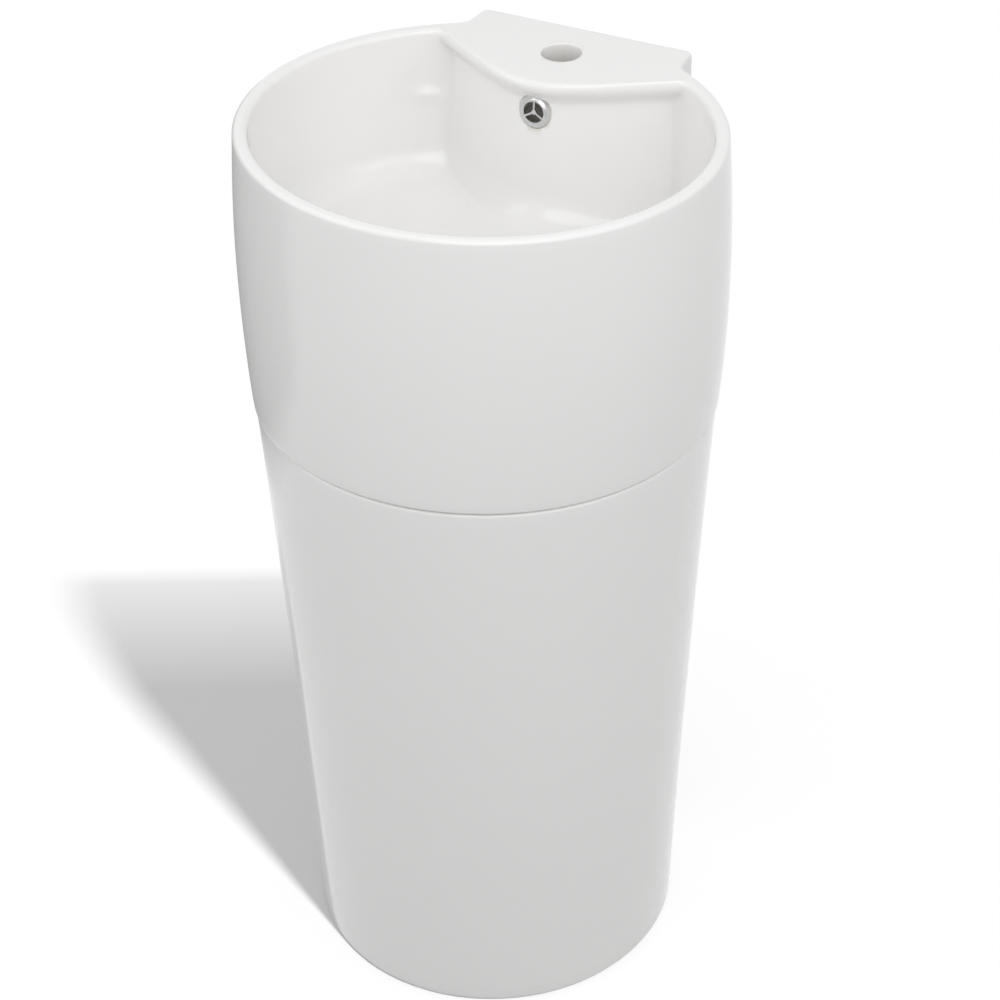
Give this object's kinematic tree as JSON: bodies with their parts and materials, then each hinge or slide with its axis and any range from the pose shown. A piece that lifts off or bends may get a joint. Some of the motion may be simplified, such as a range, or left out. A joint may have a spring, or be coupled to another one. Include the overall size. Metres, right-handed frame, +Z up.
{
  "type": "pedestal sink",
  "caption": "Oval white ceramic basin with a tap ledge and overflow on a matching flared pedestal, with pop-up waste and bottle trap inside.",
  "frame": {"origin": "on the floor below the middle of the basin's oval, 200 mm in front of the wall", "axes": "+Z up, +Y towards the wall behind, -Y is the front, +X to the right seen from the front"},
  "size_m": [0.4214, 0.4002, 0.83],
  "materials": {
    "china": "gloss",
    "bright_chrome": "polished",
    "white_plastic": "satin",
    "grey_plastic": "matte",
    "black_rubber": "matte",
    "white_rubber": "matte",
    "brass_nut": "machined",
    "spring_steel": "bright"
  },
  "bodies": {
    "sink": {"basin": "china", "pedestal": "china", "overflow_ring": "bright_chrome", "basin_gasket": "white_rubber", "waste_body": "bright_chrome", "waste_top_seal": "black_rubber", "waste_bottom_seal": "black_rubber", "waste_nut_washer": "grey_plastic", "waste_backnut": "brass_nut", "waste_guide": "grey_plastic", "plug_spring": "spring_steel", "trap_inlet_nut": "white_plastic", "trap_inlet_washer": "black_rubber", "trap_inlet_tube": "white_plastic", "trap_tube_nut": "white_plastic", "trap_tube_seal": "black_rubber", "trap_body": "white_plastic", "trap_cup": "white_plastic", "trap_cup_seal": "black_rubber", "trap_outlet_nut": "white_plastic", "trap_outlet_seal": "black_rubber", "outlet_pipe": "white_plastic"},
    "plug": {"plug_cap": "bright_chrome", "plug_seal": "black_rubber", "plug_stem": "brass_nut", "plug_stop_clip": "spring_steel"}
  },
  "joints": [
    {"name": "plug_slide", "type": "slide", "parent": "sink", "child": "plug", "axis": [0, 0, 1], "range_m": [-0.008, 0], "stiffness_N_per_m": 400, "springref_m": 0.008, "deforming": ["plug_spring"]}
  ]
}
